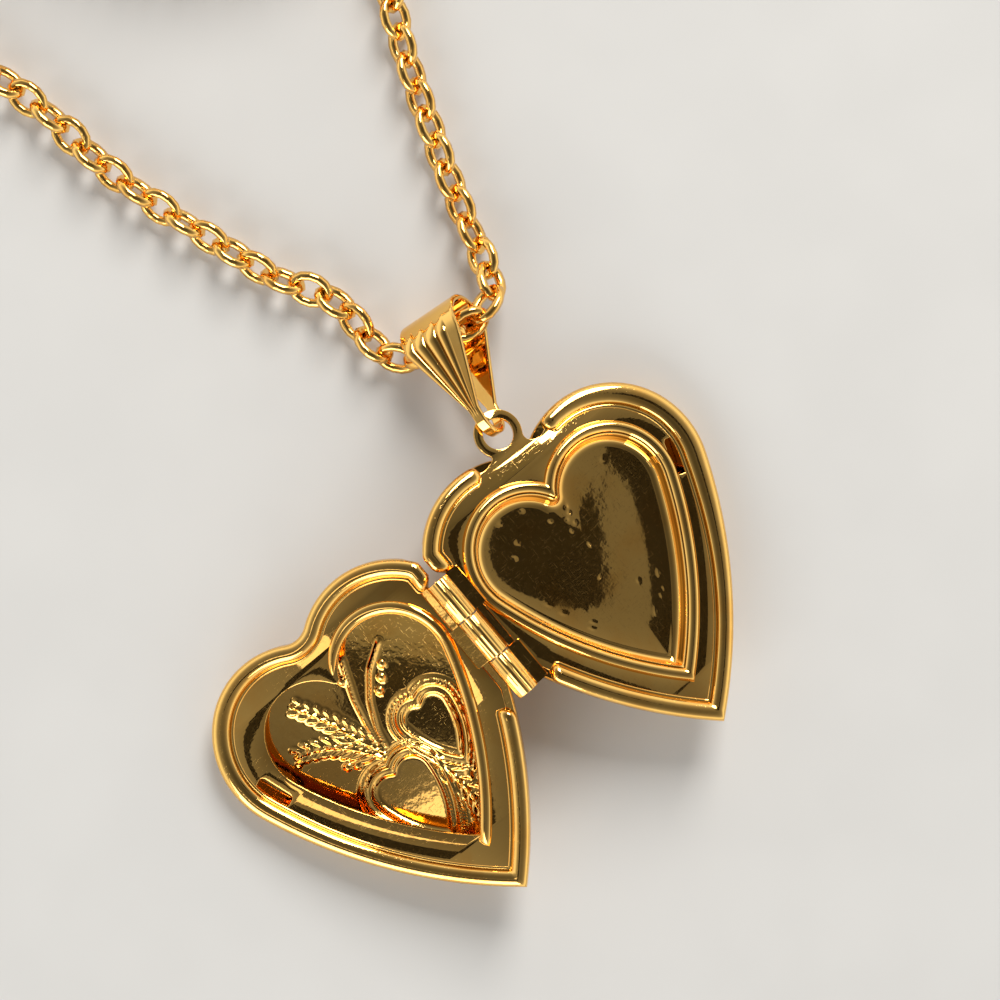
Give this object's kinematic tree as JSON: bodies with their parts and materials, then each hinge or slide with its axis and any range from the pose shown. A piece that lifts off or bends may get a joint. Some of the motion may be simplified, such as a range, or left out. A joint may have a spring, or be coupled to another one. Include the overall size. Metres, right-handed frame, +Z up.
{
  "type": "heart locket necklace",
  "caption": "Open heart locket with a domed back, an embossed cover on a side hinge, a fluted fold-over bail and a cable chain with a spring ring clasp.",
  "frame": {"origin": "on the surface the open locket stands on, at the middle of the box round the locket and its bail", "axes": "+Y along the hinge pin, from the tips to the lobes; +X from the pin over the back leaf; +Z up"},
  "size_m": [0.0549, 0.0803, 0.007],
  "materials": {
    "polished_gold": "mirror polished gold plate",
    "embossed_gold": "polished gold plate over pressed pattern",
    "inner_gold": "polished gold plate, slightly orange-peeled",
    "pin_gold": "drawn wire, gold plated",
    "bail_gold": "polished gold plate",
    "chain_gold": "polished wire, gold plated",
    "clasp_gold": "polished gold plate",
    "spring_steel": "spring wire"
  },
  "bodies": {
    "chain": {"chain_left": "chain_gold", "chain_right": "chain_gold", "chain_coil": "chain_gold", "chain_left_tail": "chain_gold", "chain_right_tail": "chain_gold", "clasp_ring": "clasp_gold", "clasp_spring": "spring_steel", "clasp_eye": "clasp_gold", "clasp_link": "clasp_gold", "end_link": "clasp_gold", "end_ring": "clasp_gold"},
    "gate": {"clasp_gate": "clasp_gold"},
    "bail": {"bail": "bail_gold"},
    "back_leaf": {"back_shell": "polished_gold", "back_plate": "inner_gold", "back_knuckle_upper": "polished_gold", "back_knuckle_lower": "polished_gold", "hinge_pin": "pin_gold"},
    "cover_leaf": {"cover_shell": "embossed_gold", "cover_frame": "inner_gold", "cover_knuckle": "polished_gold"}
  },
  "joints": [
    {"name": "bail_swing", "type": "hinge", "parent": "chain", "child": "bail", "pos_m": [0.00921, 0.01241, 0.00254], "axis": [0.8867, -0.1138, 0.4481], "range_deg": [-40, 30]},
    {"name": "ear_swing", "type": "hinge", "parent": "bail", "child": "back_leaf", "pos_m": [0.00816, 0.00748, 0.00336], "axis": [0.8867, -0.1138, 0.4481], "range_deg": [-35, 35]},
    {"name": "cover_hinge", "type": "hinge", "parent": "back_leaf", "child": "cover_leaf", "pos_m": [0, 0, 0.00617], "axis": [0, 1, 0], "range_deg": [0, 210]},
    {"name": "gate_slide", "type": "hinge", "parent": "chain", "child": "gate", "pos_m": [0.0214, 0.0465, 0.00072], "axis": [0, 0, 1], "range_deg": [0, 54], "stiffness_Nm_per_rad": 0.0004, "springref_deg": -17.19}
  ]
}
